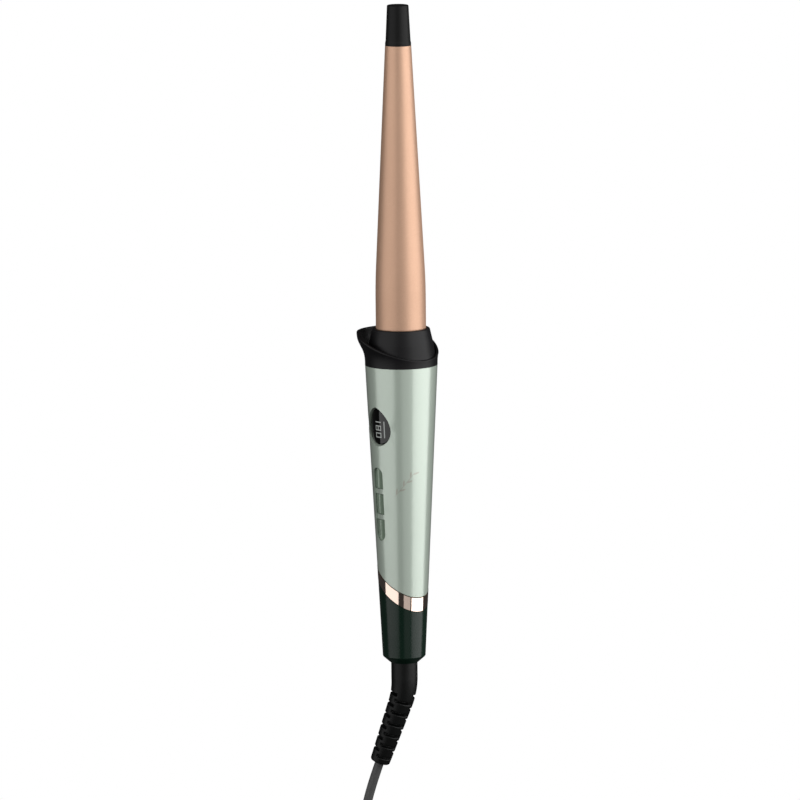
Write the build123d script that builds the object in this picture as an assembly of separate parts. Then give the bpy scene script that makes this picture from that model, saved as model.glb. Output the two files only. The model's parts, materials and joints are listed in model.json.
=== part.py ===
"""Curling wand: a heated tapered barrel on a conical handle, with a swivelling mains cord.

The frame: +Z runs along the barrel towards the cool tip, the origin is on the wand's axis in the
middle of the grip, the controls face -X, and the high side of the finger guard is at +Y.
All sizes are in millimetres. Each function makes one sub-part, and the list at the end writes them.
"""
from build123d import *
import os
from math import cos, pi, radians, sin, tan

# Handle: one cone from the seam under the black collar down to the rear cap's chamfer.
SEAM_Z = 74.0
CHAMFER_Z = -73.0
REAR_Z = -76.4
REAR_R = 10.7
TAPER = 0.05
WALL = 1.9
NECK_R = 6.6
NECK_CLEARANCE = 0.12

# Trim ring: a slanted band between two planes z = height + slope * y.
RING_TOP = (-33.6, 0.715)
RING_BOTTOM = (-40.4, 0.77)
RING_GAP = 0.22

# Collar: a slanted finger guard round a short cone.
GUARD_PROFILE = ((18.1, 0), (18.2, 3.2), (18.8, 6.3), (20.6, 10.3), (21.7, 12.9), (22.1, 15.5), (22.3, 18))
GUARD_WALL = 1.6
GUARD_ROUND = 0.5
GUARD_RIM_LOW = 84.95
GUARD_RIM_SLOPE = 0.4
GUARD_RIM_TOP = 90.9
CONE_TOP_Z = 92.4
CONE_TOP_R = 14.3
CONE_BASE_R = 17.05

# Barrel and tip.
BARREL_R = 12.5
BARREL_BASE_Z = 76.0
BARREL_FOOT_Z = CONE_TOP_Z + 0.2
BARREL_FOOT_R = 12.3
BARREL_STRAIGHT_Z = 115.5
BARREL_END_Z = 233.5
BARREL_END_R = 6.5
BARREL_WALL = 1.0
BARREL_SHOULDER_R = 300.0
TIP_Z = 253.6
TIP_BASE_R = 6.3
TIP_TOP_R = 5.35

# Display: a curved lens sunk into the -X side in a bevelled recess that is widest at its foot.
LENS_Y = 0.8
LENS_Z = 44.3
LENS_HALF_WIDTH = 8.1
LENS_HEAD = 9.1
LENS_FOOT = 8.6
LENS_SINK = 1.2
LENS_THICK = 1.2
LENS_GAP = 0.1
RECESS_DEPTH = 13.4
RECESS_GROW = 1.9
RECESS_DROP = 0.7
MODULE_X = -12.0

# Buttons: three in one rounded slot on the -X side.
SLOT_WIDTH = 7.4
SLOT_Y = 1.6
SLOT_LOW = -13.6
SLOT_HIGH = 23.5
SLOT_DEPTH = 0.9
BUTTON_GAP = 0.25
BUTTON_SINK = 1.0
BUTTON_DISH_R = 9.0
BUTTON_DISH = 1.35
BUTTON_FLANGE = 0.9
BUTTON_TRAVEL = 0.6
BUTTON_SPANS = {"button_plus": (12.6, SLOT_HIGH), "button_minus": (-0.3, 10.1), "button_power": (SLOT_LOW, -2.8)}

# Boards and chassis.
BOARD_THICK = 1.6
CONTROL_BOARD_X = -5.5
POWER_BOARD_X = 2.4
SWITCH_HEIGHT = 2.2
CHASSIS_LOW = -24.0
CHASSIS_HIGH = 68.9
CHASSIS_GAP = 0.3
CHASSIS_WALL = 1.2
BOSS_RING_R = 11.8
BOSS_R = 2.2
SCREW_R = 1.0
SCREW_HEAD_R = 1.9
SCREW_HEAD = 1.3
CARRIER_SCREW_ANGLES = (30, 150, 270)
CHASSIS_SCREW_X = 7.2
CHASSIS_SCREW_Z = (-14.0, 52.0)

# Strain relief: a straight neck, a bend and a straight slotted run.
RELIEF_TOP_Z = -69.6
RELIEF_START_Z = -75.0
RELIEF_STRAIGHT = 10.0
RELIEF_BEND_R = 35.0
RELIEF_BEND = 20.4
RELIEF_HEADING = (-0.44, 0.898)
RELIEF_RUN = 33.0
RELIEF_BEND_END_R = 6.15
RELIEF_END_R = 5.0
RELIEF_CORE_R = 3.3
RIB_SLOTS = 6
RIB_PITCH = 5.0
RIB_SLOT = 1.6
RIB_FIRST = 21.8
RIB_HALF_ANGLE = 46.0

# Cord: 1.8 m long, the length out of sight wound in a coil that hangs on it.
CORD_R = 2.3
COIL_CENTRE = (0.0, 12.95, -206.0)
COIL_INNER_R = 20.2
COIL_OUTER_R = 34.0
COIL_HALF_WIDTH = 7.05
TAIL_X = -32.0
TAIL_Y = 5.9
PLUG_TOP_Z = -254.0
PLUG_FACE_Z = -291.0
PIN_SPACING = 19.0
PIN_R = 2.0
PIN_CORE_R = 1.3
PIN_SLEEVE_R = 1.65
PIN_SLEEVE = 10.0
PIN_LENGTH = 19.0


def handle_r(z):
    """The handle's outer radius at a height."""
    return REAR_R + TAPER * (z - CHAMFER_Z)


def barrel_r(z):
    """The barrel's outer radius at a height."""
    fall = (BARREL_R - BARREL_END_R) / (BARREL_END_Z - BARREL_STRAIGHT_Z)
    return BARREL_R - fall * max(0.0, z - BARREL_STRAIGHT_Z)


def turned(*outline):
    """A solid of revolution about Z from a closed outline of (radius, height) points."""
    return revolve(make_face(Polyline(*[(r, 0, z) for r, z in outline], close=True)), Axis.Z)


def handle_cone(low, high, inset=0.0):
    """The handle's cone between two heights, moved inwards by the inset."""
    return turned((0, low), (handle_r(low) - inset, low), (handle_r(high) - inset, high), (0, high))


def handle_shell(low, high, outer_inset, inner_inset):
    """A conical shell that follows the handle's outside."""
    return handle_cone(low, high, outer_inset) - handle_cone(low, high, inner_inset)


def slanted(edge, shift=0.0):
    """The plane z = height + slope * y of a slanted edge, moved up by the shift."""
    height, slope = edge
    return Plane(origin=(0, 0, height + shift), z_dir=(0, -slope, 1))


def block(low, high):
    """A box between two opposite corners."""
    size = [b - a for a, b in zip(low, high)]
    centre = [(a + b) / 2 for a, b in zip(low, high)]
    return Pos(*centre) * Box(*size)


def rod(start, end, radius):
    """A round rod between two points."""
    line = Vector(*end) - Vector(*start)
    return extrude(Plane(origin=start, z_dir=line) * Circle(radius), line.length)


def controls_plane(y, z, depth=25.0):
    """A plane that faces -X: its x runs to -Y and its y runs up."""
    return Plane(origin=(-depth, y, z), x_dir=(0, -1, 0), z_dir=(-1, 0, 0))


# Barrel, tip and heater ---------------------------------------------------------------------

def barrel_tube():
    shoulder = FilletPolyline(
        (BARREL_R, 0, BARREL_FOOT_Z), (BARREL_R, 0, BARREL_STRAIGHT_Z), (BARREL_END_R, 0, BARREL_END_Z),
        radius=BARREL_SHOULDER_R,
    )
    ends = Polyline((BARREL_END_R, 0, BARREL_END_Z), (0, 0, BARREL_END_Z), (0, 0, BARREL_BASE_Z),
                    (BARREL_FOOT_R, 0, BARREL_BASE_Z), (BARREL_FOOT_R, 0, BARREL_FOOT_Z),
                    (BARREL_R, 0, BARREL_FOOT_Z))
    outside = revolve(make_face([*shoulder.edges(), *ends.edges()]), Axis.Z)
    inside = turned(
        (0, BARREL_BASE_Z), (BARREL_R - BARREL_WALL, BARREL_BASE_Z),
        (BARREL_R - BARREL_WALL, BARREL_STRAIGHT_Z - 3),
        (BARREL_END_R - BARREL_WALL, BARREL_END_Z), (0, BARREL_END_Z),
    )
    return outside - inside


def cool_tip():
    spigot_r = BARREL_END_R - BARREL_WALL - 0.15
    cap = turned(
        (0, BARREL_END_Z), (TIP_BASE_R + 0.15, BARREL_END_Z), (TIP_BASE_R + 0.15, BARREL_END_Z + 1.2),
        (TIP_BASE_R - 0.1, BARREL_END_Z + 2.4), (TIP_TOP_R, TIP_Z), (0, TIP_Z),
    )
    cap = fillet(cap.edges().filter_by(GeomType.CIRCLE).sort_by(Axis.Z)[-1], 0.6)
    spigot = Pos(0, 0, BARREL_END_Z) * Cylinder(spigot_r, 12, align=(Align.CENTER, Align.CENTER, Align.MAX))
    bore = rod((0, 0, BARREL_END_Z - 12), (0, 0, BARREL_END_Z + 6), SCREW_R)
    return cap + spigot - bore


def tip_screw():
    foot_z = BARREL_END_Z - 12
    head = rod((0, 0, foot_z - 3.4), (0, 0, foot_z - 2), SCREW_HEAD_R)
    return head + rod((0, 0, foot_z - 2), (0, 0, BARREL_END_Z + 5), SCREW_R)


def tip_bridge():
    """The plate across the spreaders' ends that the tip's screw pulls on."""
    foot_z = BARREL_END_Z - 14
    radius = barrel_r(foot_z) - BARREL_WALL - 0.4
    plate = rod((0, 0, foot_z), (0, 0, foot_z + 2), radius)
    return plate - rod((0, 0, foot_z), (0, 0, foot_z + 2), SCREW_R + 0.1)


SPREADER_LOW = 100.0
SPREADER_HIGH = 205.0
SPREADER_SPLIT = 0.6
POCKET_FRONT = -1.0
POCKET_BACK = 2.6
HEATER_LOW = 115.0
HEATER_HIGH = 185.0
HEATER_THICK = 1.6
HEATER_WIDTH = 9.6
SENSOR_Y = -5.0


def spreader(side):
    """Half of the aluminium core that carries the heat to the barrel."""
    slack = BARREL_WALL + 0.12
    core = turned(
        (0, SPREADER_LOW), (BARREL_R - slack, SPREADER_LOW), (BARREL_R - slack, BARREL_STRAIGHT_Z - 3),
        (barrel_r(SPREADER_HIGH) - slack - 0.1, SPREADER_HIGH), (0, SPREADER_HIGH),
    )
    far = 20.0
    near = SPREADER_SPLIT * side
    keep = block((-far, min(near, far * side), SPREADER_LOW), (far, max(near, far * side), SPREADER_HIGH))
    pocket = block((-5.2, POCKET_FRONT, SPREADER_LOW), (5.2, POCKET_BACK, HEATER_HIGH + 4))
    return core & keep, pocket


def spreader_front():
    half, pocket = spreader(-1)
    return half - pocket - rod((0, SENSOR_Y, SPREADER_LOW), (0, SENSOR_Y, SPREADER_LOW + 18), 1.4)


def spreader_back():
    half, pocket = spreader(1)
    return half - pocket


def heater_plate():
    edge = HEATER_WIDTH / 2
    return block((-edge, POCKET_FRONT, HEATER_LOW), (edge, POCKET_FRONT + HEATER_THICK, HEATER_HIGH))


def spreader_spring():
    """A bowed leaf between the heater and the back spreader."""
    low_y, high_y, thick = POCKET_FRONT + HEATER_THICK, POCKET_BACK, 0.35
    z_low, z_high, z_mid = HEATER_LOW + 8, HEATER_HIGH - 8, (HEATER_LOW + HEATER_HIGH) / 2
    outer = ThreePointArc((0, low_y + thick, z_low), (0, high_y, z_mid), (0, low_y + thick, z_high))
    inner = ThreePointArc((0, low_y, z_low), (0, high_y - thick, z_mid), (0, low_y, z_high))
    foot = Line((0, low_y, z_low), (0, low_y + thick, z_low))
    head = Line((0, low_y, z_high), (0, low_y + thick, z_high))
    return extrude(make_face([outer, inner, foot, head]), 3.6, dir=(1, 0, 0), both=True)


def temperature_sensor():
    return rod((0, SENSOR_Y, SPREADER_LOW + 1), (0, SENSOR_Y, SPREADER_LOW + 16), 1.2)


def thermal_fuse():
    body = rod((0, 6.5, 84), (0, 6.5, 94), 1.8)
    return body + rod((0, 6.5, 79), (0, 6.5, 84), 0.5) + rod((0, 6.5, 94), (0, 6.5, SPREADER_LOW - 0.5), 0.5)


def heater_leads():
    y = POCKET_FRONT + 1.4
    return [rod((x, y, 54), (x, y, HEATER_LOW), 0.9) for x in (-2.5, 2.5)]


# Collar -------------------------------------------------------------------------------------

def guard_cut():
    """Everything above the finger guard's rim: a slanted rim that levels off at its high side."""
    bend_y = (GUARD_RIM_TOP - GUARD_RIM_LOW) / GUARD_RIM_SLOPE
    reach, roof = 30.0, 120.0
    rim = FilletPolyline(
        (0, -reach, GUARD_RIM_LOW - GUARD_RIM_SLOPE * reach), (0, bend_y, GUARD_RIM_TOP),
        (0, reach, GUARD_RIM_TOP), radius=16,
    )
    rest = Polyline(
        (0, reach, GUARD_RIM_TOP), (0, reach, roof), (0, -reach, roof),
        (0, -reach, GUARD_RIM_LOW - GUARD_RIM_SLOPE * reach),
    )
    return extrude(make_face([*rim.edges(), *rest.edges()]), reach, dir=(1, 0, 0), both=True)


def collar_guard():
    base_r = CONE_BASE_R + 0.1
    outer = Spline(*[(r, 0, SEAM_Z + h) for r, h in GUARD_PROFILE])
    inner_points = [(max(base_r, r - GUARD_WALL), 0, SEAM_Z + h) for r, h in GUARD_PROFILE[2:]]
    inner = Spline((base_r, 0, SEAM_Z + 4), *inner_points)
    foot = Line((GUARD_PROFILE[0][0], 0, SEAM_Z), (base_r, 0, SEAM_Z))
    riser = Line((base_r, 0, SEAM_Z), (base_r, 0, SEAM_Z + 4))
    top = Line(outer @ 1, inner @ 1)
    guard = revolve(make_face([outer, inner, foot, riser, top]), Axis.Z) - guard_cut()
    rim = [e for e in guard.edges() if e.geom_type not in (GeomType.CIRCLE, GeomType.LINE) and e.center().Z > SEAM_Z + 2]
    return fillet(rim, GUARD_ROUND)


def collar_cone():
    cone = turned(
        (14.6, SEAM_Z - 5), (15.75, SEAM_Z - 5), (15.75, SEAM_Z), (CONE_BASE_R, SEAM_Z),
        (CONE_BASE_R, SEAM_Z + 4), (16.0, SEAM_Z + 11), (CONE_TOP_R, CONE_TOP_Z),
        (BARREL_R + 0.25, CONE_TOP_Z), (BARREL_R + 0.25, CONE_TOP_Z - 0.9), (13.5, CONE_TOP_Z - 0.9),
        (13.5, SEAM_Z + 6), (14.6, SEAM_Z + 4.5),
    )
    rim = [e for e in cone.edges().filter_by(GeomType.CIRCLE)
           if abs(e.radius - CONE_TOP_R) < 0.01 and abs(e.center().Z - CONE_TOP_Z) < 0.01]
    return fillet(rim, 0.8)


def barrel_carrier():
    """The heat-proof socket that grips the barrel's foot and screws to the chassis."""
    flange_z = CHASSIS_HIGH + 0.1
    socket = turned(
        (5, flange_z), (14.4, flange_z), (14.4, flange_z + 2), (13.4, flange_z + 2),
        (13.4, CONE_TOP_Z - 1.1), (BARREL_FOOT_R + 0.05, CONE_TOP_Z - 1.1),
        (BARREL_FOOT_R + 0.05, BARREL_BASE_Z),
        (8, BARREL_BASE_Z), (5, BARREL_BASE_Z - 3),
    )
    pockets = [rod((x, y, flange_z + 2), (x, y, BARREL_BASE_Z + 1), SCREW_HEAD_R + 0.3)
               for x, y in carrier_screw_places()]
    holes = [rod((x, y, flange_z - 1), (x, y, flange_z + 3), SCREW_R + 0.1)
             for x, y in carrier_screw_places()]
    return socket - pockets - holes


def carrier_screw_places():
    return [(BOSS_RING_R * cos(radians(a)), BOSS_RING_R * sin(radians(a))) for a in CARRIER_SCREW_ANGLES]


def screw(head_at, towards, length):
    """A pan-head screw: its head stands on head_at and its shank runs towards a direction."""
    along = Vector(*towards).normalized()
    seat = Vector(*head_at)
    back, tip = seat - along * SCREW_HEAD, seat + along * length
    return rod(tuple(back), tuple(seat), SCREW_HEAD_R) + rod(tuple(seat), tuple(tip), SCREW_R - 0.02)


def carrier_screws():
    return [screw((x, y, CHASSIS_HIGH + 2.1), (0, 0, -1), 8) for x, y in carrier_screw_places()]


# Handle -------------------------------------------------------------------------------------

def egg(grow=0.0):
    """The lens's outline, an egg with its blunt end down."""
    w, head, foot = LENS_HALF_WIDTH + grow, LENS_HEAD + grow, LENS_FOOT + grow
    right = Bezier((0, head), (0.42 * w, 0.93 * head), (w, 0.42 * head), (w, -0.16 * head))
    low_right = Bezier((w, -0.16 * head), (w, -0.72 * foot), (0.55 * w, -foot), (0, -foot))
    left, low_left = mirror(right, Plane.YZ), mirror(low_right, Plane.YZ)
    return make_face([right, low_right, low_left, left])


def egg_prism(grow=0.0):
    """The lens's outline carried through the handle's wall."""
    return extrude(controls_plane(LENS_Y, LENS_Z) * egg(grow), -20)


def lens_recess():
    """A bevelled mouth round the lens, dropped so that it is widest at the foot."""
    mouth = controls_plane(LENS_Y, LENS_Z, RECESS_DEPTH) * egg(LENS_GAP)
    outer = controls_plane(LENS_Y, LENS_Z - RECESS_DROP, 20) * egg(LENS_GAP + RECESS_GROW)
    return loft([mouth, outer])


def slot_outline(grow=0.0):
    """The button slot's outline on its plane, centred on the slot."""
    return SlotOverall(SLOT_HIGH - SLOT_LOW + 2 * grow, SLOT_WIDTH + 2 * grow, rotation=90)


def slot_prism(low, high, grow=0.0):
    """The part of the slot's prism between two heights, grown or shrunk all round."""
    prism = extrude(controls_plane(SLOT_Y, (SLOT_LOW + SLOT_HIGH) / 2) * slot_outline(grow), -20)
    return prism & block((-30, -12, low - grow), (0, 12, high + grow))


def handle_sleeve():
    low = RING_TOP[0] - 12
    shell = handle_shell(low, SEAM_Z, 0, WALL)
    shell = split(shell, bisect_by=slanted(RING_TOP, RING_GAP), keep=Keep.TOP)
    shell -= lens_recess()
    shell -= egg_prism(LENS_GAP)
    shell -= slot_prism(SLOT_LOW, SLOT_HIGH) - handle_cone(SLOT_LOW - 5, SLOT_HIGH + 5, SLOT_DEPTH)
    for span_low, span_high in BUTTON_SPANS.values():
        shell -= slot_prism(span_low, span_high)
    return shell


def display_lens():
    return egg_prism() & handle_shell(LENS_Z - 15, LENS_Z + 15, LENS_SINK, LENS_SINK + LENS_THICK)


def display_module():
    glass = block((MODULE_X, LENS_Y - 4.8, LENS_Z - 6), (MODULE_X + 1.6, LENS_Y + 4.8, LENS_Z + 6))
    frame = block((MODULE_X + 1.6, LENS_Y - 5.3, LENS_Z - 6.5), (MODULE_X + 3.8, LENS_Y + 5.3, LENS_Z + 6.5))
    return [glass + frame]


def button(low, high):
    """One button: a dished cap in the slot, a flange that keeps it in and a stem to its switch."""
    span_low, span_high = SLOT_LOW - 5, SLOT_HIGH + 5
    middle = (low + high) / 2
    top = handle_cone(span_low, span_high, BUTTON_SINK)
    flange_top = handle_cone(span_low, span_high, WALL + 0.12)
    inside = handle_cone(span_low, span_high, WALL + 0.12 + BUTTON_FLANGE)
    cap = (slot_prism(low, high, -BUTTON_GAP) & top) - inside
    flange = (slot_prism(low, high, 0.5) & flange_top) - inside
    surface = -(handle_r(middle) - BUTTON_DISH)
    lean = Vector(-TAPER, 0, 1)
    axis_point = Vector(surface - BUTTON_DISH_R, SLOT_Y, middle)
    dish = rod(tuple(axis_point - lean * 12), tuple(axis_point + lean * 12), BUTTON_DISH_R)
    stem_end = CONTROL_BOARD_X - SWITCH_HEIGHT - BUTTON_TRAVEL - 0.05
    stem_start = -(handle_r(middle) - WALL - 0.5)
    stem = rod((stem_start, SLOT_Y, middle), (stem_end, SLOT_Y, middle), 1.3)
    return cap - dish + flange + stem


def chassis_half(side):
    """Half of the inner frame: a shell with ledges for the boards, screw bosses and an open front."""
    outer, inner = WALL + CHASSIS_GAP, WALL + CHASSIS_GAP + CHASSIS_WALL
    shell = handle_shell(CHASSIS_LOW, CHASSIS_HIGH, outer, inner)
    solid = handle_cone(CHASSIS_LOW, CHASSIS_HIGH, outer)
    board_low, board_high = CHASSIS_LOW + 3, CHASSIS_HIGH - 8
    for x in (CONTROL_BOARD_X + BOARD_THICK, POWER_BOARD_X - 1.2):
        for y in (5.2, -20):
            shell += solid & block((x, y, board_low), (x + 1.2, y + 14.8, board_high))
    for x, y in carrier_screw_places():
        boss = rod((x, y, CHASSIS_HIGH - 9), (x, y, CHASSIS_HIGH), BOSS_R)
        shell = shell + (boss & solid) - rod((x, y, CHASSIS_HIGH - 8), (x, y, CHASSIS_HIGH), SCREW_R)
    for z in CHASSIS_SCREW_Z:
        boss = rod((CHASSIS_SCREW_X, -14, z), (CHASSIS_SCREW_X, 14, z), BOSS_R + 0.8) & solid
        shell = shell + boss - rod((CHASSIS_SCREW_X, -6, z), (CHASSIS_SCREW_X, 7, z), SCREW_R)
        shell -= rod((CHASSIS_SCREW_X, -20, z), (CHASSIS_SCREW_X, -6, z), SCREW_HEAD_R + 0.1)
    shell -= block((-20, -8.8, SLOT_LOW - 6), (CONTROL_BOARD_X, 10, LENS_Z + LENS_HEAD + 4))
    if side < 0:
        return shell & block((-20, -20, CHASSIS_LOW), (20, 0, CHASSIS_HIGH))
    return shell & block((-20, 0, CHASSIS_LOW), (20, 20, CHASSIS_HIGH))


def chassis_screws():
    return [screw((CHASSIS_SCREW_X, -6, z), (0, 1, 0), 11) for z in CHASSIS_SCREW_Z]


def control_board():
    edge = 6.4
    low, high = CHASSIS_LOW + 3, CHASSIS_HIGH - 9
    return block((CONTROL_BOARD_X, -edge, low), (CONTROL_BOARD_X + BOARD_THICK, edge, high))


def tact_switches():
    half = 2.2
    x = CONTROL_BOARD_X
    middles = [(low + high) / 2 for low, high in BUTTON_SPANS.values()]
    return [block((x - SWITCH_HEIGHT, SLOT_Y - half, z - half), (x, SLOT_Y + half, z + half)) for z in middles]


def power_board():
    edge = 7.4
    return block((POWER_BOARD_X, -edge, CHASSIS_LOW + 6), (POWER_BOARD_X + BOARD_THICK, edge, 46))


def power_components():
    """What stands on the power board: a triac, a film capacitor, a can capacitor and a fuse."""
    x = POWER_BOARD_X + BOARD_THICK
    triac = block((x, -5, 30), (x + 4.4, 5, 44))
    film_capacitor = fillet(block((x, -4.5, 6), (x + 6, 4.5, 19)).edges().filter_by(Axis.X), 1)
    can_capacitor = rod((x + 3.2, 0, -6), (x + 3.2, 0, 4), 3.2)
    fuse = rod((x + 2.2, -4, 24), (x + 2.2, 4, 24), 2.2)
    return [triac, film_capacitor, can_capacitor, fuse]


def joint_sleeve():
    """The inner sleeve that joins the handle to the rear cap under the trim ring."""
    return handle_shell(-54, CHASSIS_LOW - 1, WALL + 0.1, WALL + 0.9)


def trim_ring():
    ring = handle_shell(-60, -15, -0.06, WALL)
    ring = split(ring, bisect_by=slanted(RING_TOP, -RING_GAP), keep=Keep.BOTTOM)
    return split(ring, bisect_by=slanted(RING_BOTTOM, RING_GAP), keep=Keep.TOP)


def rear_cap():
    opening = NECK_R + NECK_CLEARANCE
    high = -25.0
    floor_z = -70.0
    outside = turned(
        (0, REAR_Z), (opening + 0.3, REAR_Z), (REAR_R - 0.3, CHAMFER_Z - 0.5), (REAR_R, CHAMFER_Z),
        (handle_r(high), high), (0, high),
    )
    inside = handle_cone(floor_z, high, WALL)
    cap = outside - inside - rod((0, 0, REAR_Z), (0, 0, floor_z), opening)
    return split(cap, bisect_by=slanted(RING_BOTTOM, -RING_GAP), keep=Keep.BOTTOM)


# Swivel -------------------------------------------------------------------------------------

HOUSING_R = 8.7
HOUSING_BORE = 7.9
HOUSING_TOP_Z = -48.0
SPINDLE_R = 4.5
SPINDLE_TOP_Z = -43.0
CONTACT_RINGS_Z = (-63.5, -57.0)
CONTACT_RING_H = 2.6
CONTACT_RING_R = 5.3


def swivel_housing():
    return turned(
        (HOUSING_BORE, -70), (HOUSING_R, -70), (HOUSING_R, HOUSING_TOP_Z), (SPINDLE_R + 0.1, HOUSING_TOP_Z),
        (SPINDLE_R + 0.1, HOUSING_TOP_Z - 2), (HOUSING_BORE, HOUSING_TOP_Z - 2),
    )


def contact_brushes():
    """Two sprung brushes on the housing's wall, one to a contact ring."""
    brushes = []
    for side, z in zip((1, -1), CONTACT_RINGS_Z):
        near, far = side * (CONTACT_RING_R + 0.08), side * (HOUSING_BORE - 0.12)
        low, high = min(near, far), max(near, far)
        brushes.append(block((low, -1.2, z + 0.4), (high, 1.2, z + CONTACT_RING_H - 0.4)))
    return brushes


def swivel_spindle():
    groove_z = HOUSING_TOP_Z + 0.3
    return turned(
        (1.6, RELIEF_TOP_Z), (7.6, RELIEF_TOP_Z), (7.6, RELIEF_TOP_Z + 2), (SPINDLE_R, RELIEF_TOP_Z + 2),
        (SPINDLE_R, groove_z), (3.8, groove_z), (3.8, groove_z + 0.8), (SPINDLE_R, groove_z + 0.8),
        (SPINDLE_R, SPINDLE_TOP_Z), (1.6, SPINDLE_TOP_Z),
    )


def swivel_clip():
    z = HOUSING_TOP_Z + 0.35
    ring = rod((0, 0, z), (0, 0, z + 0.7), 6.4) - rod((0, 0, z), (0, 0, z + 0.7), 3.8)
    return ring - block((-2.2, 0, z), (2.2, 8, z + 0.7))


def contact_rings():
    return [rod((0, 0, z), (0, 0, z + CONTACT_RING_H), CONTACT_RING_R)
            - rod((0, 0, z), (0, 0, z + CONTACT_RING_H), SPINDLE_R) for z in CONTACT_RINGS_Z]


def relief_frame(distance):
    """The point and direction on the strain relief's centreline at a distance below the cap."""
    heading = Vector(RELIEF_HEADING[0], RELIEF_HEADING[1], 0).normalized()
    turn = min(max(distance - RELIEF_STRAIGHT, 0), radians(RELIEF_BEND) * RELIEF_BEND_R) / RELIEF_BEND_R
    beyond = max(0, distance - RELIEF_STRAIGHT - radians(RELIEF_BEND) * RELIEF_BEND_R)
    along = heading * sin(turn) - Vector(0, 0, 1) * cos(turn)
    down = min(distance, RELIEF_STRAIGHT)
    point = Vector(0, 0, RELIEF_START_Z - down) + heading * (RELIEF_BEND_R * (1 - cos(turn)))
    point = point - Vector(0, 0, 1) * (RELIEF_BEND_R * sin(turn)) + along * beyond
    return point, along


RELIEF_LENGTH = RELIEF_STRAIGHT + radians(RELIEF_BEND) * RELIEF_BEND_R + RELIEF_RUN
RELIEF_FRONT = (-0.47, -0.88, 0)


def relief_plane(distance):
    """A plane across the strain relief, its x towards the front row of slots."""
    point, along = relief_frame(distance)
    return Plane(origin=point, x_dir=Vector(*RELIEF_FRONT) - along * along.dot(Vector(*RELIEF_FRONT)), z_dir=along)


def relief_slot(distance, turn):
    """Two opposite slots across the strain relief, down to the core round the cord."""
    place = relief_plane(distance).offset(-RIB_SLOT / 2)
    ring = Circle(9) - Circle(RELIEF_CORE_R)
    reach = 12.0
    spread = reach * sin(radians(RIB_HALF_ANGLE)) / cos(radians(RIB_HALF_ANGLE))
    wedge = make_face(Polyline((0, 0), (reach, spread), (reach, -spread), close=True))
    wedges = Rot(0, 0, turn) * (wedge + Rot(0, 0, 180) * wedge)
    return extrude(place * (ring & wedges), RIB_SLOT)


def strain_relief():
    bend_end = RELIEF_LENGTH - RELIEF_RUN
    neck = rod((0, 0, RELIEF_TOP_Z), (0, 0, RELIEF_START_Z - RELIEF_STRAIGHT), NECK_R)
    steps = 4
    sections = []
    for i in range(steps + 1):
        distance = RELIEF_STRAIGHT + (bend_end - RELIEF_STRAIGHT) * i / steps
        sections.append(relief_plane(distance) * Circle(NECK_R + (RELIEF_BEND_END_R - NECK_R) * i / steps))
    bend = loft(sections)
    run = loft([relief_plane(bend_end) * Circle(RELIEF_BEND_END_R),
                relief_plane(RELIEF_LENGTH) * Circle(RELIEF_END_R)])
    body = neck + bend + run
    for i in range(RIB_SLOTS):
        body -= relief_slot(RIB_FIRST + i * RIB_PITCH, 0)
        body -= relief_slot(RIB_FIRST - RIB_PITCH / 2 + i * RIB_PITCH, 90)
    return body


# Cord and plug ------------------------------------------------------------------------------

def cord_route():
    """The lead's route from the strain relief to the coil, whose first turn it joins."""
    start, along = relief_frame(RELIEF_LENGTH)
    return [start, start + along * 16, Vector(-10.3, 19.6, -157.0), Vector(-15.5, 20.0, -170.5), Vector(-24.0, 20.0, -182.0)]


def tube(points, radius):
    """A round tube along straight runs joined by arcs as large as the runs allow."""
    bends = []
    for before, corner, after in zip(points, points[1:], points[2:]):
        arriving, leaving = corner - before, after - corner
        half_turn = radians(arriving.get_angle(leaving)) / 2
        bends.append(0.45 * min(arriving.length, leaving.length) * cos(half_turn) / sin(half_turn))
    path = FilletPolyline(*points, radius=bends)
    print("cord bend radii", [round(b, 1) for b in bends], "length", round(path.length, 1))
    solid = sweep(Plane(origin=points[0], z_dir=points[1] - points[0]) * Circle(radius), path=path)
    print("tube volume over section times length", round(solid.volume / (pi * radius**2 * path.length), 3))
    return solid


def cord_lead():
    return tube(cord_route(), CORD_R)


def cord_coil():
    """The outer shape of the coil, a ring about Y with rounded corners."""
    cx, cy, cz = COIL_CENTRE
    inner, outer, half = COIL_INNER_R - CORD_R, COIL_OUTER_R + CORD_R, COIL_HALF_WIDTH + CORD_R
    section = RectangleRounded(outer - inner, 2 * half, CORD_R)
    placed = Plane(origin=(cx + (inner + outer) / 2, cy, cz), x_dir=(1, 0, 0), z_dir=(0, 0, 1)) * section
    return revolve(placed, Axis((cx, cy, cz), (0, 1, 0)))


def cord_tail():
    return rod((TAIL_X, TAIL_Y, COIL_CENTRE[2] - 10), (TAIL_X, TAIL_Y, PLUG_TOP_Z), CORD_R)


def cord_tie():
    """A strap round the coil's turns where the lead joins them."""
    cx, cy, cz = COIL_CENTRE
    angle = 60.0
    middle = (COIL_INNER_R + COIL_OUTER_R) / 2
    wide = COIL_OUTER_R - COIL_INNER_R + 2 * CORD_R + 2.4
    deep = 2 * COIL_HALF_WIDTH + 2 * CORD_R + 2.4
    loop = RectangleRounded(wide, deep, 3.5) - RectangleRounded(wide - 2.2, deep - 2.2, 2.4)
    place = Plane(origin=(cx + middle * cos(radians(angle)), cy, cz + middle * sin(radians(angle))),
                  x_dir=(cos(radians(angle)), 0, sin(radians(angle))),
                  z_dir=(-sin(radians(angle)), 0, cos(radians(angle))))
    return extrude(place * loop, 4, both=True)


def plug_outline(width, depth):
    return RectangleRounded(width, depth, depth * 0.42)


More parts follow.
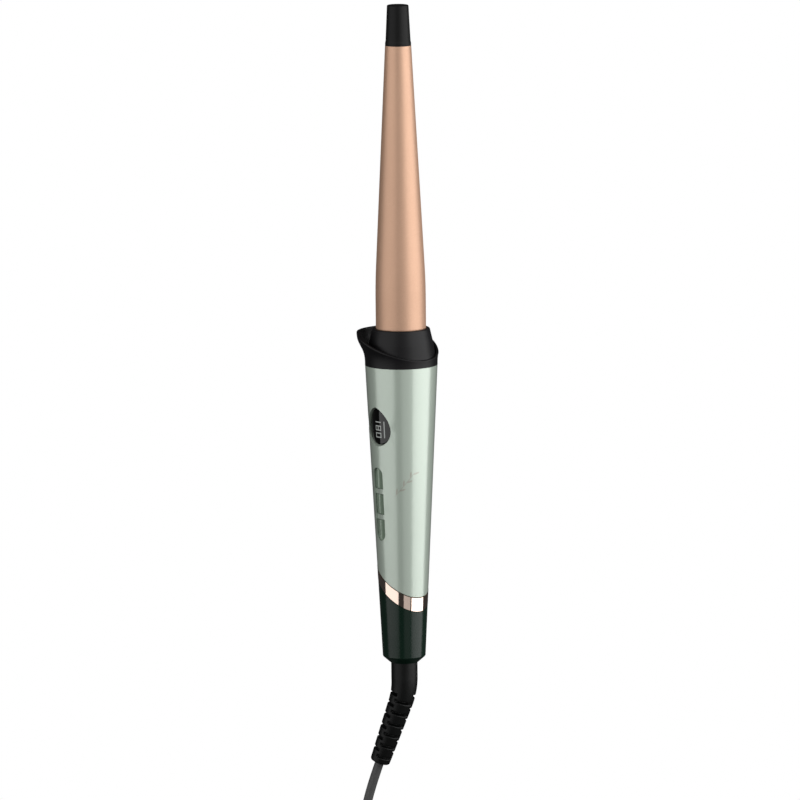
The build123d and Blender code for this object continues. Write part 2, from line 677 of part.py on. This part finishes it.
def plug_body():
    """A flat two-pin plug: a slim grip that widens to the pin face, with a ribbed cord guard."""
    centre = Pos(TAIL_X, TAIL_Y, 0)
    heights = (PLUG_TOP_Z - 8, PLUG_TOP_Z - 16, PLUG_TOP_Z - 26, PLUG_FACE_Z)
    widths = ((10.5, 9.5), (18, 11), (27.5, 13.0), (34.5, 13.5))
    sections = [centre * Pos(0, 0, z) * plug_outline(w, d) for z, (w, d) in zip(heights, widths)]
    grip = loft(sections)
    guard = loft([centre * Pos(0, 0, PLUG_TOP_Z) * Circle(3.4), centre * Pos(0, 0, PLUG_TOP_Z - 8.2) * Circle(4.6)])
    grooves = [centre * Pos(0, 0, PLUG_TOP_Z - 1.8 - 2.1 * i) * (Cylinder(9, 0.9) - Cylinder(3.0, 0.9))
               for i in range(3)]
    return grip + (guard - grooves)


def pin_places():
    return [TAIL_X + side * PIN_SPACING / 2 for side in (-1, 1)]


def plug_pins():
    pins = []
    for x in pin_places():
        bare = rod((x, TAIL_Y, PLUG_FACE_Z - PIN_SLEEVE), (x, TAIL_Y, PLUG_FACE_Z - PIN_LENGTH), PIN_R)
        bare = fillet(bare.edges().filter_by(GeomType.CIRCLE).sort_by(Axis.Z)[0], 1.2)
        core = rod((x, TAIL_Y, PLUG_FACE_Z), (x, TAIL_Y, PLUG_FACE_Z - PIN_SLEEVE), PIN_CORE_R)
        pins.append(bare + core)
    return pins


def plug_pin_sleeves():
    sleeves = []
    for x in pin_places():
        ends = (x, TAIL_Y, PLUG_FACE_Z), (x, TAIL_Y, PLUG_FACE_Z - PIN_SLEEVE)
        sleeves.append(rod(*ends, PIN_SLEEVE_R) - rod(*ends, PIN_CORE_R))
    return sleeves


PARTS = {
    "barrel_tube": barrel_tube,
    "cool_tip": cool_tip,
    "tip_screw": tip_screw,
    "tip_bridge": tip_bridge,
    "spreader_front": spreader_front,
    "spreader_back": spreader_back,
    "spreader_spring": spreader_spring,
    "heater_plate": heater_plate,
    "heater_leads": heater_leads,
    "temperature_sensor": temperature_sensor,
    "thermal_fuse": thermal_fuse,
    "barrel_carrier": barrel_carrier,
    "carrier_screws": carrier_screws,
    "collar_cone": collar_cone,
    "collar_guard": collar_guard,
    "handle_sleeve": handle_sleeve,
    "display_lens": display_lens,
    "display_module": display_module,
    "control_board": control_board,
    "tact_switches": tact_switches,
    "chassis_front": lambda: chassis_half(-1),
    "chassis_back": lambda: chassis_half(1),
    "chassis_screws": chassis_screws,
    "power_board": power_board,
    "power_components": power_components,
    "joint_sleeve": joint_sleeve,
    "trim_ring": trim_ring,
    "rear_cap": rear_cap,
    "swivel_housing": swivel_housing,
    "contact_brushes": contact_brushes,
    "swivel_spindle": swivel_spindle,
    "swivel_clip": swivel_clip,
    "contact_rings": contact_rings,
    "strain_relief": strain_relief,
    "cord_lead": cord_lead,
    "cord_coil": cord_coil,
    "cord_tail": cord_tail,
    "cord_tie": cord_tie,
    "plug_body": plug_body,
    "plug_pins": plug_pins,
    "plug_pin_sleeves": plug_pin_sleeves,
}
for button_name, (button_low, button_high) in BUTTON_SPANS.items():
    PARTS[button_name] = lambda low=button_low, high=button_high: button(low, high)

os.makedirs("parts", exist_ok=True)
for node, make in PARTS.items():
    shape = make()
    solids = shape if isinstance(shape, list) else [shape]
    export_step(Compound(children=[s for item in solids for s in item.solids()]), f"parts/{node}.step")
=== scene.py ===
"""Finishes, cord and studio for the curling wand, in metres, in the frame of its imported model."""
import bpy
import bmesh
import json
from math import cos, pi, radians, sin
from mathutils import Matrix, Vector

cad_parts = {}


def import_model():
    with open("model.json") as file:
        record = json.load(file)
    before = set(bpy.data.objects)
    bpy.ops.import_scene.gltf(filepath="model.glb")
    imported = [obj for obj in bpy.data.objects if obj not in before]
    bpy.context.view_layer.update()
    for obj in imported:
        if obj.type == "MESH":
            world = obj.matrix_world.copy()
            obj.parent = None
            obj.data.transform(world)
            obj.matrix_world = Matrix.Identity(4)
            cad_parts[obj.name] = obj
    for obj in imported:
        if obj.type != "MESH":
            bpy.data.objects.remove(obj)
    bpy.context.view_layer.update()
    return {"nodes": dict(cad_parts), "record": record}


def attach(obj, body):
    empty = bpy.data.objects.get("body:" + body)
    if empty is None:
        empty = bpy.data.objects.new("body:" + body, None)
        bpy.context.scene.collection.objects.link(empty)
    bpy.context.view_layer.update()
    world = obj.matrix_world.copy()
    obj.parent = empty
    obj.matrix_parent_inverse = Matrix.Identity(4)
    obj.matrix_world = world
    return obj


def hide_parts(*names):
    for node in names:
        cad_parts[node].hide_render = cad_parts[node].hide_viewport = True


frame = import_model()
nodes = frame["nodes"]
MM = 0.001
TO_MM = 1000


# Shader expressions -------------------------------------------------------------------------

class Value:
    """One output of a shader node; arithmetic on it adds Math nodes."""

    def __init__(self, finish, socket):
        self.finish, self.socket = finish, socket

    def maths(self, operation, *others):
        return self.finish.node("ShaderNodeMath", {"operation": operation}, *others)

    def __add__(self, other):
        return self.maths("ADD", self, other)

    def __radd__(self, other):
        return self.maths("ADD", other, self)

    def __sub__(self, other):
        return self.maths("SUBTRACT", self, other)

    def __rsub__(self, other):
        return self.maths("SUBTRACT", other, self)

    def __mul__(self, other):
        return self.maths("MULTIPLY", self, other)

    def __rmul__(self, other):
        return self.maths("MULTIPLY", other, self)

    def __truediv__(self, other):
        return self.maths("DIVIDE", self, other)

    def __pow__(self, other):
        return self.maths("POWER", self, other)

    def __abs__(self):
        return self.maths("ABSOLUTE", self)

    def __lt__(self, other):
        return self.maths("LESS_THAN", self, other)

    def most(self, other):
        return self.maths("MAXIMUM", self, other)


class Finish:
    """A material under construction, with a Principled shader to end in."""

    def __init__(self, name, **sockets):
        self.material = bpy.data.materials.new(name)
        self.material.use_nodes = True
        self.tree = self.material.node_tree
        self.shader = self.tree.nodes["Principled BSDF"]
        self.set(**sockets)

    def node(self, kind, settings=None, *values, out=0, **named):
        """Adds a node: its settings first, then the values or links of its sockets."""
        made = self.tree.nodes.new(kind)
        for name, value in (settings or {}).items():
            setattr(made, name, value)
        for socket, value in zip(made.inputs, values):
            self.feed(socket, value)
        for name, value in named.items():
            self.feed(made.inputs[name.replace("_", " ")], value)
        return Value(self, made.outputs[out])

    def feed(self, socket, value):
        if isinstance(value, Value):
            self.tree.links.new(value.socket, socket)
        elif value is not None:
            if socket.type == "RGBA" and len(value) == 3:
                value = (*value, 1.0)
            socket.default_value = value

    def set(self, **sockets):
        for name, value in sockets.items():
            self.feed(self.shader.inputs[name.replace("_", " ")], value)
        return self

    def place(self):
        return self.node("ShaderNodeTexCoord", out="Object")

    def xyz(self):
        apart = self.node("ShaderNodeSeparateXYZ", None, self.place())
        outputs = apart.socket.node.outputs
        return [Value(self, outputs[i]) for i in range(3)]

    def noise(self, scale, detail=2.0):
        return self.node("ShaderNodeTexNoise", None, Vector=self.place(), Scale=scale, Detail=detail)

    def mix(self, factor, a, b):
        """Colour a where the factor is 0 and b where it is 1."""
        made = self.node("ShaderNodeMix", {"data_type": "RGBA"}).socket.node
        factor_in, a_in, b_in, colour_out = 0, 6, 7, 2
        for i, value in ((factor_in, factor), (a_in, a), (b_in, b)):
            self.feed(made.inputs[i], value)
        return Value(self, made.outputs[colour_out])

    def spread(self, value, low, high):
        """The value stretched so that low is 0 and high is 1."""
        return self.node("ShaderNodeMapRange", {"clamp": True}, value, low, high)

    def bump(self, height, strength, distance):
        return self.node("ShaderNodeBump", None, Strength=strength, Distance=distance, Height=height)


# Finishes -----------------------------------------------------------------------------------

def pearl(name, base, metallic=0.35):
    """A green pearl lacquer: fine metal flakes under a clear coat. Gives the finish and its tint."""
    finish = Finish(name, Metallic=metallic, Coat_Weight=1.0, Coat_Roughness=0.14)
    flakes = finish.spread(finish.noise(9000, 1.0), 0.35, 0.65)
    tint = finish.mix(flakes, [c * 0.93 for c in base], [min(1, c * 1.07) for c in base])
    finish.set(Roughness=0.30 + 0.05 * finish.noise(30))
    return finish, tint


def leaf(u, v, place, angle, long=1.5, wide=0.42):
    """Where a point is inside a slim leaf about a place, all in millimetres."""
    c, s = cos(radians(angle)), sin(radians(angle))
    du, dv = u - place[0], v - place[1]
    return ((du * c + dv * s) / long) ** 2 + ((dv * c - du * s) / wide) ** 2 < 1.0


SPRIG_BACK = (0.669, 0.743)
SPRIG_PLACE = (1.0, 15.5)
SPRIG_LEAN = 50
SPRIG_STEM = (0.643, 0.766)
SPRIG_LEAVES = ((-5, 1), (-2.5, -1), (0.5, 1), (3, -1), (6, 1), (8.2, -1))
SPRIG_STEM_LONG, SPRIG_STEM_WIDE = 8.5, 0.16
LEAF_OFF_STEM, LEAF_SPLAY = 0.9, 32
FOIL, FOIL_STRENGTH = (0.36, 0.30, 0.25), 0.55


def sage_pearl():
    """The handle's lacquer, with a small foil sprig beside the buttons, laid out in millimetres."""
    finish, tint = pearl("sage_pearl", (0.47, 0.545, 0.47))
    x, y, z = finish.xyz()
    back_x, back_y = SPRIG_BACK
    u, v = (x * back_y - y * back_x) * TO_MM, z * TO_MM
    outside = x * back_x + y * back_y < 0
    (u0, v0), (du, dv) = SPRIG_PLACE, SPRIG_STEM
    sprig = leaf(u, v, SPRIG_PLACE, SPRIG_LEAN, SPRIG_STEM_LONG, SPRIG_STEM_WIDE)
    for along, side in SPRIG_LEAVES:
        off = LEAF_OFF_STEM * side
        place = (u0 + du * along - off * dv, v0 + dv * along + off * du)
        sprig = sprig.most(leaf(u, v, place, SPRIG_LEAN + LEAF_SPLAY * side))
    sprig = sprig * outside
    finish.set(Base_Color=finish.mix(sprig * FOIL_STRENGTH, tint, FOIL))
    return finish.material


def sage_button():
    # The buttons' dark base is painted shade: a darker copy of the handle's sage lacquer that stands in
    # for the shade in their recess.
    finish, tint = pearl("sage_button", (0.20, 0.27, 0.20), 0.25)
    finish.set(Base_Color=tint)
    return finish.material


def patch(p, q, centre, half):
    """Where a point is inside an upright rectangle."""
    return (abs(p - centre[0]) < half[0]) * (abs(q - centre[1]) < half[1])


DIGITS_Z, DIGITS_Y = 43.6, 0.6
DIGIT, STROKE = (1.3, 2.0), 0.28
EYE, WIDE_EYE, EYE_OFF = (0.75, 0.62), (0.75, 1.45), 0.92
ONE_AT, NOUGHT_AT, BAR_AT, BAR_LONG = -3.0, 3.6, (0.6, 4.0), 4.2


def display_glass():
    """Black glass over three lit digits and a level bar, which read along the wand."""
    finish = Finish("lens_black", Base_Color=(0.001, 0.001, 0.001), Emission_Strength=0.30)
    _, y, z = finish.xyz()
    p, q = DIGITS_Z - z * TO_MM, DIGITS_Y - y * TO_MM
    one = patch(p, q, (ONE_AT, 0), (STROKE, DIGIT[1]))
    eight = patch(p, q, (0, 0), DIGIT) - patch(p, q, (0, EYE_OFF), EYE) - patch(p, q, (0, -EYE_OFF), EYE)
    nought = patch(p, q, (NOUGHT_AT, 0), DIGIT) - patch(p, q, (NOUGHT_AT, 0), WIDE_EYE)
    bar = patch(p, q, BAR_AT, (BAR_LONG, STROKE))
    lit = one.most(eight).most(nought).most(bar)
    finish.set(Emission_Color=finish.mix(lit, (0, 0, 0), (0.85, 0.9, 0.86)))
    finish.set(Roughness=0.05 + 0.03 * finish.noise(400))
    return finish.material


def barrel_ceramic():
    """A satin coating of rose-gold ceramic with a fine sparkle."""
    finish = Finish("barrel_ceramic", Metallic=0.55)
    speck = finish.noise(6000, 2.0)
    tint = finish.mix(finish.spread(speck, 0.4, 0.6), (0.55, 0.335, 0.225), (0.65, 0.405, 0.28))
    finish.set(Base_Color=tint, Roughness=0.44 + 0.06 * finish.noise(60))
    return finish.material


def rose_gold():
    finish = Finish("rose_gold", Metallic=1.0, Base_Color=(0.86, 0.68, 0.58))
    finish.set(Roughness=0.06 + 0.04 * finish.noise(200))
    return finish.material


def plain(name, colour, roughness=0.4, metallic=0.0, coat=0.0, shine=0.5, grain=4000, bump=0.05):
    finish = Finish(name, Metallic=metallic, Coat_Weight=coat, Specular_IOR_Level=shine)
    fleck = finish.noise(grain, 2.0)
    tint = finish.mix(fleck, [c * 0.85 for c in colour], [min(1, c * 1.15) for c in colour])
    finish.set(Base_Color=tint, Roughness=roughness + 0.08 * finish.noise(80))
    if bump:
        finish.set(Normal=finish.bump(fleck, bump, 0.0001))
    return finish.material


FINISHES = {
    "sage_pearl": sage_pearl(),
    "sage_button": sage_button(),
    "barrel_ceramic": barrel_ceramic(),
    "rose_gold": rose_gold(),
    "tip_black": plain("tip_black", (0.004, 0.004, 0.004), 0.42, shine=0.18),
    "collar_black": plain("collar_black", (0.0035, 0.0033, 0.004), 0.38, shine=0.24),
    "deep_green": plain("deep_green", (0.004, 0.015, 0.009), 0.17, shine=0.34, bump=0),
    "lens_black": display_glass(),
    "module_black": plain("module_black", (0.01, 0.01, 0.01), 0.5),
    "board_green": plain("board_green", (0.01, 0.10, 0.04), 0.4),
    "inner_plastic": plain("inner_plastic", (0.05, 0.05, 0.05), 0.5),
    "heater_white": plain("heater_white", (0.8, 0.8, 0.75), 0.5),
    "lead_sleeve": plain("lead_sleeve", (0.5, 0.48, 0.42), 0.6),
    "steel": plain("steel", (0.5, 0.5, 0.5), 0.3, 1.0),
    "aluminium": plain("aluminium", (0.6, 0.6, 0.62), 0.4, 1.0),
    "copper": plain("copper", (0.8, 0.45, 0.25), 0.3, 1.0),
    "relief_rubber": plain("relief_rubber", (0.0015, 0.0018, 0.0017), 0.42, shine=0.24),
    "cord_black": plain("cord_black", (0.075, 0.075, 0.075), 0.5, shine=0.35),
    "plug_black": plain("plug_black", (0.012, 0.012, 0.012), 0.45),
    "pin_metal": plain("pin_metal", (0.7, 0.69, 0.67), 0.2, 1.0),
}


def dress_nodes():
    """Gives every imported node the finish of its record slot."""
    for row in frame["record"]["subparts"]:
        mesh = nodes[row["node"]].data
        mesh.materials.clear()
        mesh.materials.append(FINISHES[row["material_slot"]])


# Cord ---------------------------------------------------------------------------------------

CORD_D = 0.0046
LEAD = ((-6.03, 12.31, -128.19), (-8.48, 17.3, -143.2), (-10.3, 19.6, -157.0), (-15.5, 20.0, -170.5))
COIL_CENTRE = (0.0, 12.95, -206.0)
COIL_OUTER_R = 34.0
COIL_INNER_R = 20.2
LAYER_STEP = 4.7
LAYER_TURNS = (3, 2, 3, 2)
LAYER_SHIFT = 0.6
TURN_POINTS = 16
COIL_START = 135.0
TAIL = ((-32.0, 5.9, -222.0), (-32.0, 5.9, -238.0), (-32.0, 5.9, -255.0))


def eased(t):
    t = min(max(t, 0.0), 1.0)
    return t * t * (3 - 2 * t)


def coil_points():
    """The coil's turns: four layers side by side, wound inwards and outwards by turns."""
    cx, cy, cz = COIL_CENTRE
    points = []
    for i in range(TURN_POINTS * sum(LAYER_TURNS) + TURN_POINTS // 8 + 1):
        turns = i / TURN_POINTS
        layer, done, across = 0, 0.0, 0.0
        for count in LAYER_TURNS[:-1]:
            across += eased((turns - done - count) / LAYER_SHIFT + 0.5)
            if turns < done + count:
                break
            layer, done = layer + 1, done + count
        inwards = min(1.0, (turns - done) / LAYER_TURNS[layer])
        if layer % 2:
            inwards = 1 - inwards
        radius = COIL_OUTER_R - (COIL_OUTER_R - COIL_INNER_R) * inwards
        angle = radians(COIL_START + 360 * turns)
        sideways = ((len(LAYER_TURNS) - 1) / 2 - across) * LAYER_STEP
        points.append((cx + radius * cos(angle), cy + sideways, cz + radius * sin(angle)))
    return points


# Strain relief ------------------------------------------------------------------------------

# Distances run down the centreline from RELIEF_START. The route and radii are the CAD node's.
RELIEF_TOP, RELIEF_START = -69.6, -75.0
RELIEF_STRAIGHT, RELIEF_BEND, RELIEF_BEND_R, RELIEF_RUN = 10.0, radians(20.4), 35.0, 33.0
RELIEF_NECK = RELIEF_TOP - RELIEF_START
RELIEF_BENT = round(RELIEF_STRAIGHT + RELIEF_BEND * RELIEF_BEND_R, 2)
RELIEF_END = round(RELIEF_BENT + RELIEF_RUN, 2)
RELIEF_HEADING = Vector((-0.44, 0.898, 0)).normalized()
RELIEF_FRONT = Vector((-0.47, -0.88, 0))
RELIEF_RADII = ((-RELIEF_NECK, 6.6), (RELIEF_STRAIGHT, 6.6), (RELIEF_BENT, 6.15), (RELIEF_END, 5.0))
RELIEF_CORE_R = 3.3
RELIEF_ROUND_LONG, RELIEF_ROUND_DEEP = 0.7, 0.35
RELIEF_STEPS, RELIEF_SIDES = 330, 96
# The slots are the CAD node's in number, width, depth and spread. They are further apart, 6.15 mm
# and not 5 mm, start at 21.0 mm and not 21.8 mm, and have softened edges.
SLOT_FIRST, SLOT_PITCH, SLOT_COUNT, SLOT_WIDE, SLOT_HALF_ANGLE = 21.0, 6.15, 6, 1.6, radians(46)
SLOT_EDGE, SLOT_END, SLOT_END_R, SLOT_LEAD_IN = 0.35, 0.8, 5.5, 0.3


def relief_frame(distance):
    """The point and direction on the strain relief's centreline at a distance from RELIEF_START."""
    turn = min(max(distance - RELIEF_STRAIGHT, 0), RELIEF_BEND * RELIEF_BEND_R) / RELIEF_BEND_R
    beyond = max(0, distance - RELIEF_STRAIGHT - RELIEF_BEND * RELIEF_BEND_R)
    along = RELIEF_HEADING * sin(turn) - Vector((0, 0, cos(turn)))
    point = Vector((0, 0, RELIEF_START - min(distance, RELIEF_STRAIGHT) - RELIEF_BEND_R * sin(turn)))
    return point + RELIEF_HEADING * (RELIEF_BEND_R * (1 - cos(turn))) + along * beyond, along


def relief_outside(distance):
    for (a, ra), (b, rb) in zip(RELIEF_RADII, RELIEF_RADII[1:]):
        if distance <= b:
            return ra + (rb - ra) * max(0.0, distance - a) / (b - a)
    return RELIEF_RADII[-1][1]


def slot_depth(distance, angle):
    """How far into a slot a point of the surface is, from 0 outside to 1 on its floor."""
    depth = 0.0
    for row, shift in ((0.0, 0.0), (pi / 2, -SLOT_PITCH / 2)):
        off = (angle - row + pi / 2) % pi - pi / 2
        for i in range(SLOT_COUNT):
            gap = SLOT_WIDE / 2 - abs(distance - SLOT_FIRST - shift - i * SLOT_PITCH)
            side = (SLOT_HALF_ANGLE - abs(off)) * SLOT_END_R
            across, round_it = gap / SLOT_EDGE + SLOT_LEAD_IN, side / SLOT_END + SLOT_LEAD_IN
            depth = max(depth, min(eased(across), eased(round_it)))
    return depth


def strain_relief():
    """The cord guard with softened slots in two rows, a quarter turn apart."""
    grid = bmesh.new()
    rings = []
    for i in range(RELIEF_STEPS + 1):
        distance = (RELIEF_END + RELIEF_NECK) * i / RELIEF_STEPS - RELIEF_NECK
        point, along = relief_frame(distance)
        front = (RELIEF_FRONT - along * along.dot(RELIEF_FRONT)).normalized()
        side = along.cross(front)
        outside = relief_outside(distance)
        edge = RELIEF_ROUND_DEEP * max(0.0, 1 - (RELIEF_END - distance) / RELIEF_ROUND_LONG) ** 2
        ring = []
        for j in range(RELIEF_SIDES):
            angle = 2 * pi * j / RELIEF_SIDES
            radius = outside - edge - (outside - RELIEF_CORE_R) * slot_depth(distance, angle)
            ring.append(grid.verts.new((point + (front * cos(angle) + side * sin(angle)) * radius) * MM))
        rings.append(ring)
    for low, high in zip(rings, rings[1:]):
        for j in range(RELIEF_SIDES):
            grid.faces.new((low[j], low[j - 1], high[j - 1], high[j]))
    grid.faces.new(rings[0])
    grid.faces.new(rings[-1][::-1])
    bmesh.ops.recalc_face_normals(grid, faces=grid.faces)
    mesh = bpy.data.meshes.new("cord_guard")
    grid.to_mesh(mesh)
    grid.free()
    mesh.shade_smooth()
    piece = bpy.data.objects.new("cord_guard", mesh)
    bpy.context.scene.collection.objects.link(piece)
    mesh.materials.append(FINISHES["relief_rubber"])
    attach(piece, "swivel")
    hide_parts("strain_relief")


def cord():
    route = [*LEAD, *coil_points(), *TAIL]
    curve = bpy.data.curves.new("cord", "CURVE")
    curve.dimensions = "3D"
    spline = curve.splines.new("NURBS")
    spline.points.add(len(route) - 1)
    for point, place in zip(spline.points, route):
        point.co = (*(v * MM for v in place), 1.0)
    spline.order_u = 3
    spline.use_endpoint_u = True
    curve.bevel_depth = CORD_D / 2
    curve.bevel_resolution = 6
    curve.use_fill_caps = True
    piece = bpy.data.objects.new("cord", curve)
    bpy.context.scene.collection.objects.link(piece)
    curve.materials.append(FINISHES["cord_black"])
    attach(piece, "swivel")
    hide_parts("cord_lead", "cord_coil", "cord_tail")


# Studio -------------------------------------------------------------------------------------

AIM = Vector((0, 0, 0.056))
AZIMUTH, ELEVATION, ROLL = -42.0, 9.0, 0.58
DISTANCE = 4.0
VIEW_HEIGHT = 0.3982
SHIFT = -0.0021
SENSOR = 36.0
AMBIENT = 0.04
SOFTBOX_ELEVATION, SOFTBOX_DISTANCE, SOFTBOX_HEIGHT = 18, 1.1, 1.9
# Each light's name, azimuth, width and radiance.
SOFTBOXES = (("key_left", -58, 1.75, 1.25), ("fill_right", 16, 0.74, 0.5), ("key_right", 71, 1.75, 2.3))


def towards(azimuth, elevation):
    """The direction from the wand to something at an azimuth and elevation, in degrees."""
    a, e = radians(azimuth), radians(elevation)
    return Vector((sin(a) * cos(e), -cos(a) * cos(e), sin(e)))


def camera():
    lens = bpy.data.cameras.new("camera")
    lens.sensor_width = SENSOR
    lens.lens = SENSOR * DISTANCE / VIEW_HEIGHT
    lens.shift_x = SHIFT
    lens.clip_start = 0.05
    piece = placed(lens, towards(AZIMUTH, ELEVATION), DISTANCE)
    piece.matrix_world = piece.matrix_world @ Matrix.Rotation(radians(-ROLL), 4, "Z")
    bpy.context.scene.camera = piece


def placed(data, back, distance):
    """A camera or light that looks at AIM from a distance along a direction."""
    piece = bpy.data.objects.new(data.name, data)
    piece.matrix_world = (Matrix.Translation(AIM + back * distance)
                          @ back.to_track_quat("Z", "Y").to_matrix().to_4x4())
    bpy.context.scene.collection.objects.link(piece)
    return piece


def softbox(name, azimuth, elevation, distance, width, height, radiance):
    """An area light at an azimuth measured from the camera's own."""
    lamp = bpy.data.lights.new(name, "AREA")
    lamp.shape = "RECTANGLE"
    lamp.size, lamp.size_y = width, height
    lamp.energy = radiance * pi * width * height
    placed(lamp, towards(AZIMUTH + azimuth, elevation), distance)


def world():
    """White to the camera and nearly dark to the object, so that the softboxes light it."""
    made = bpy.data.worlds.new("studio")
    made.use_nodes = True
    tree = made.node_tree
    shade = tree.nodes["Background"]
    shade.inputs["Color"].default_value = (1, 1, 1, 1)
    seen = tree.nodes.new("ShaderNodeLightPath")
    level = tree.nodes.new("ShaderNodeMapRange")
    level.inputs["To Min"].default_value = AMBIENT
    level.inputs["To Max"].default_value = 1.0
    tree.links.new(seen.outputs["Is Camera Ray"], level.inputs["Value"])
    tree.links.new(level.outputs[0], shade.inputs["Strength"])
    bpy.context.scene.world = made


def studio():
    camera()
    world()
    for name, azimuth, width, radiance in SOFTBOXES:
        softbox(name, azimuth, SOFTBOX_ELEVATION, SOFTBOX_DISTANCE, width, SOFTBOX_HEIGHT, radiance)
    bpy.context.scene.view_settings.view_transform = "Standard"


dress_nodes()
strain_relief()
cord()
studio()
